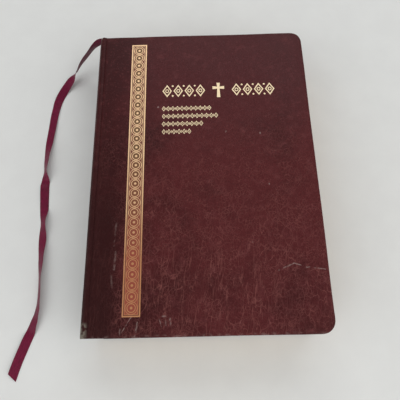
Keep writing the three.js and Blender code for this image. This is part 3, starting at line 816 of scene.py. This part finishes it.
foil = {
    "thickness": 0.05 * mm, "lift": 0.03 * mm, "line": 0.95 * mm, "fineLine": 0.28 * mm, "gap": 0.35 * mm, "medallions": 29,
    "loop": (4.2 * mm, 3.8 * mm), "ring": (3.0 * mm, 2.45 * mm), "iris": (2.45 * mm, 1.0 * mm), "dot": 0.92 * mm,
}
frontTree = BVHTree.FromPolygons([vert.co for vert in frontSkin.data.vertices],
                                 [tuple(polygon.vertices) for polygon in frontSkin.data.polygons])


def addRing(bm, centre, outer, inner, segments=28, stretch=1.0, turn=0.0):
    # A flat ring, or a flat disc where inner is 0.
    if inner <= 0:
        verts = bmesh.ops.create_circle(bm, cap_ends=True, segments=segments, radius=outer)["verts"]
    else:
        verts = bmesh.ops.create_circle(bm, cap_ends=False, segments=segments, radius=outer)["verts"]
        verts += bmesh.ops.create_circle(bm, cap_ends=False, segments=segments, radius=inner)["verts"]
        edges = list({edge for vert in verts for edge in vert.link_edges})
        bmesh.ops.bridge_loops(bm, edges=edges)
    bmesh.ops.rotate(bm, verts=verts, cent=(0, 0, 0), matrix=Matrix.Rotation(turn, 3, "Z"))
    bmesh.ops.scale(bm, vec=(1, stretch, 1), verts=verts)
    bmesh.ops.translate(bm, vec=(centre[0], centre[1], centre[2] if len(centre) > 2 else 0), verts=verts)


def addBar(bm, lowX, highX, lowY, highY):
    verts = bmesh.ops.create_grid(bm, x_segments=1, y_segments=1, size=0.5)["verts"]
    bmesh.ops.scale(bm, vec=(highX - lowX, highY - lowY, 1), verts=verts)
    bmesh.ops.translate(bm, vec=((lowX + highX) / 2, (lowY + highY) / 2, 0), verts=verts)
    return verts


def layFoil(name, bm, material, nodes, lift=0.0):
    # Thickens flat shapes and lays them on the leather, following its rise and fall.
    top = bmesh.ops.extrude_face_region(bm, geom=bm.faces[:])["geom"]
    verts = [item for item in top if isinstance(item, bmesh.types.BMVert)]
    bmesh.ops.translate(bm, vec=(0, 0, foil["thickness"]), verts=verts)
    for vert in bm.verts:
        hit = frontTree.ray_cast(Vector((vert.co.x, vert.co.y, 1)), Vector((0, 0, -1)))[0]
        vert.co.z += hit.z + foil["lift"] + lift
    bmesh.ops.recalc_face_normals(bm, faces=bm.faces)
    obj = finishMesh(name, bm, material)
    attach(obj, "front_cover")
    if nodes:
        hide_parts(*nodes)
    return obj


def makeStrip():
    bm = bmesh.new()
    verts = addBar(bm, stripLow.x, stripHigh.x, stripLow.y, stripHigh.y)
    middle = verts[0].link_faces[0]
    bmesh.ops.inset_region(bm, faces=[middle], thickness=foil["line"], use_even_offset=True, use_boundary=True)
    bmesh.ops.delete(bm, geom=[middle], context="FACES_ONLY")
    cutGrid(bm, 1, spread(stripLow.y, stripHigh.y, 90))
    layFoil("strip_frame", bm, goldFoil, ["foil_frame"])

    inset = foil["line"] + 0.55 * mm
    bm = bmesh.new()
    verts = addBar(bm, stripLow.x + inset, stripHigh.x - inset, stripLow.y + inset, stripHigh.y - inset)
    middle = verts[0].link_faces[0]
    bmesh.ops.inset_region(bm, faces=[middle], thickness=foil["fineLine"], use_even_offset=True, use_boundary=True)
    bmesh.ops.delete(bm, geom=[middle], context="FACES_ONLY")
    cutGrid(bm, 1, spread(stripLow.y, stripHigh.y, 90))
    layFoil("strip_inner_line", bm, goldFoil, None)

    edge = foil["line"] + foil["gap"]
    bm = bmesh.new()
    addBar(bm, stripLow.x + edge, stripHigh.x - edge, stripLow.y + edge, stripHigh.y - edge)
    cutGrid(bm, 1, spread(stripLow.y, stripHigh.y, 90))
    cutGrid(bm, 0, spread(stripLow.x, stripHigh.x, 4))
    layFoil("strip_ground", bm, groundFoil, None, lift=-0.05 * mm)

    midX = (stripLow.x + stripHigh.x) / 2
    first = stripLow.y + edge + foil["loop"][0] + 0.2 * mm
    last = stripHigh.y - edge - foil["loop"][0] - 0.2 * mm
    places = [first + (last - first) * k / (foil["medallions"] - 1) for k in range(foil["medallions"])]
    loops, irises = bmesh.new(), bmesh.new()
    for k, y in enumerate(places):
        addRing(loops, (midX, y, 0.012 * mm * (k % 2)), *foil["loop"])
        addRing(loops, (midX, y), *foil["ring"], segments=24)
        addRing(loops, (midX, y), foil["dot"], 0, segments=16)
        addRing(irises, (midX, y), *foil["iris"], segments=24)
    layFoil("strip_loops", loops, goldFoil, ["foil_medallions"], lift=0.02 * mm)
    layFoil("strip_irises", irises, oliveFoil, None)


def makeTitle():
    # A cross between rows of lozenges, with four short ruled lines under it.
    low, high = [Vector(corner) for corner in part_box("foil_cross")]
    middle = (low + high) / 2
    bm = bmesh.new()
    bmesh.ops.create_grid(bm, x_segments=3, y_segments=3, size=0.5)
    columns = [low.x, middle.x - 0.9 * mm, middle.x + 0.9 * mm, high.x]
    rows = [low.y, middle.y + 1.2 * mm, middle.y + 3.0 * mm, high.y]
    places = {vert: (round(vert.co.x * 3 + 1.5), round(vert.co.y * 3 + 1.5)) for vert in bm.verts}
    for vert, (column, row) in places.items():
        flareX = 0.45 * mm * (column - 1.5) * 2 if row in (0, 3) and column in (1, 2) else 0
        flareY = 0.45 * mm * (row - 1.5) * 2 if column in (0, 3) and row in (1, 2) else 0
        vert.co = (columns[column] + flareX, rows[row] + flareY, 0)
    spare = [face for face in bm.faces if all(places[vert] not in ((1, 1), (2, 1), (1, 2), (2, 2)) or
             len({places[other] for other in face.verts} & {(1, 1), (2, 1), (1, 2), (2, 2)}) == 1 for vert in face.verts)]
    bmesh.ops.delete(bm, geom=spare, context="FACES")
    bmesh.ops.delete(bm, geom=[vert for vert in bm.verts if not vert.link_faces], context="VERTS")
    layFoil("title_cross", bm, titleFoil, ["foil_cross"])

    for side in ("left", "right"):
        low, high = [Vector(corner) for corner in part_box(f"foil_scroll_{side}")]
        y = (low.y + high.y) / 2
        bm = bmesh.new()
        count = 4
        step = (high.x - low.x) / count
        for k in range(count):
            x = low.x + step * (k + 0.5)
            addRing(bm, (x, y), 3.7 * mm, 2.65 * mm, segments=4, stretch=1.5)
            addRing(bm, (x, y), 1.5 * mm, 0.85 * mm, segments=16, stretch=1.1)
            if k:
                addRing(bm, (low.x + step * k, y + 4.4 * mm), 0.75 * mm, 0, segments=12)
                addRing(bm, (low.x + step * k, y - 4.4 * mm), 0.75 * mm, 0, segments=12)
        layFoil(f"title_lozenges_{side}", bm, titleFoil, [f"foil_scroll_{side}"])

    for k in range(1, 5):
        low, high = [Vector(corner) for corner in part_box(f"foil_rule_{k}")]
        y = (low.y + high.y) / 2
        bm = bmesh.new()
        count = round((high.x - low.x) / (3.6 * mm))
        step = (high.x - low.x) / count
        for n in range(count):
            x = low.x + step * (n + 0.5)
            addRing(bm, (x, y), 1.45 * mm, 0.95 * mm, segments=4, stretch=1.55)
            addRing(bm, (x, y), 0.34 * mm, 0, segments=8)
            if n:
                addBar(bm, x - step / 2 - 0.2 * mm, x - step / 2 + 0.2 * mm, y - 1.1 * mm, y + 1.1 * mm)
        layFoil(f"title_rule_{k}", bm, titleFoil, [f"foil_rule_{k}"])


makeStrip()
makeTitle()
print("foil made")


# The leaves and the sewn signatures, each a stack of thin paper

leaves = {"cornerRadius": 7 * mm, "layer": 0.26 * mm, "jitter": 0.09 * mm, "curl": 24 * mm}


def makeStack(node, body, material, bends):
    low, high = [Vector(corner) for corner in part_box(node)]
    count = max(1, round((high.z - low.z) / leaves["layer"]))
    bm = bmesh.new()
    face = roundedSheet(bm, (low.x, low.y), (high.x, high.y), low.z, leaves["cornerRadius"], 0, segments=6)
    for layer in range(count):
        face = growFace(bm, face, layer == 0)
        verts = face.verts[:]
        bmesh.ops.translate(bm, vec=(0, 0, (high.z - low.z) / count), verts=verts)
        wideX = random.uniform(-1, 0.2) * leaves["jitter"]
        wideY = random.uniform(-1, 0.2) * leaves["jitter"]
        for vert in verts:
            goalX = high.x + wideX
            goalY = high.y + wideY
            vert.co.x = min(vert.co.x, goalX) if vert.co.x > high.x - 1 * mm else vert.co.x
            vert.co.y = math.copysign(min(abs(vert.co.y), goalY), vert.co.y)
    places = spread(low.x, low.x + leaves["curl"], 14) + spread(low.x + leaves["curl"], high.x - leaves["cornerRadius"], 8)
    cutGrid(bm, 0, places if bends else spread(low.x, high.x, 6))
    cutGrid(bm, 1, spread(low.y + leaves["cornerRadius"], high.y - leaves["cornerRadius"], 10))
    bmesh.ops.recalc_face_normals(bm, faces=bm.faces)
    obj = finishMesh("paper_" + node, bm, material)
    obj.data.materials.append(giltEdge)
    for polygon in obj.data.polygons:
        polygon.material_index = int(abs(polygon.normal.z) < 0.6 and polygon.center.x > low.x + 0.01 * mm)
    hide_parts(node)
    if bends:
        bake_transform(obj)
    else:
        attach(obj, body)


for body, nodes in frame["record"]["behaviour"]["bodies"].items():
    for node in nodes:
        if node.startswith("signature"):
            makeStack(node, body, leafPaper, False)
        elif "_leaves_" in node:
            makeStack(node, body, leafPaper, True)
        elif "flyleaf" in node:
            makeStack(node, body, endpaper, True)
print("paper made")


# Headband and tailband

band = {"stitches": 30, "rib": 0.13 * mm, "segments": 14}


def makeBand(node):
    low, high = [Vector(corner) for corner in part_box(node)]
    middle = (low + high) / 2
    radius = (high.y - low.y) / 2 - band["rib"]
    bm = bmesh.new()
    bmesh.ops.create_cone(bm, cap_ends=True, segments=band["segments"], radius1=radius, radius2=radius, depth=high.z - low.z)
    bmesh.ops.translate(bm, vec=middle, verts=bm.verts)
    cutGrid(bm, 2, spread(low.z, high.z, band["stitches"] * 2))
    for vert in bm.verts:
        rib = math.sin((vert.co.z - low.z) / (high.z - low.z) * band["stitches"] * 2 * math.pi)
        out = Vector((vert.co.x - middle.x, vert.co.y - middle.y, 0)).normalized()
        vert.co += out * band["rib"] * rib
    bmesh.ops.recalc_face_normals(bm, faces=bm.faces)
    obj = finishMesh("stitched_" + node, bm, bandSilk)
    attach(obj, "text_block")
    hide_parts(node)


makeBand("headband")
makeBand("tailband")

# CAD pieces whose shape is right keep it, and take a finer material
for node, material in {
        "front_cover_board": card, "back_cover_board": card, "spine_stiffener": card, "spine_liner": card,
        "mull": mullCloth, "front_cover_pastedown": pasted, "back_cover_pastedown": pasted}.items():
    bpy.data.objects[node].data.materials.clear()
    bpy.data.objects[node].data.materials.append(material)
print("bands and boards finished")
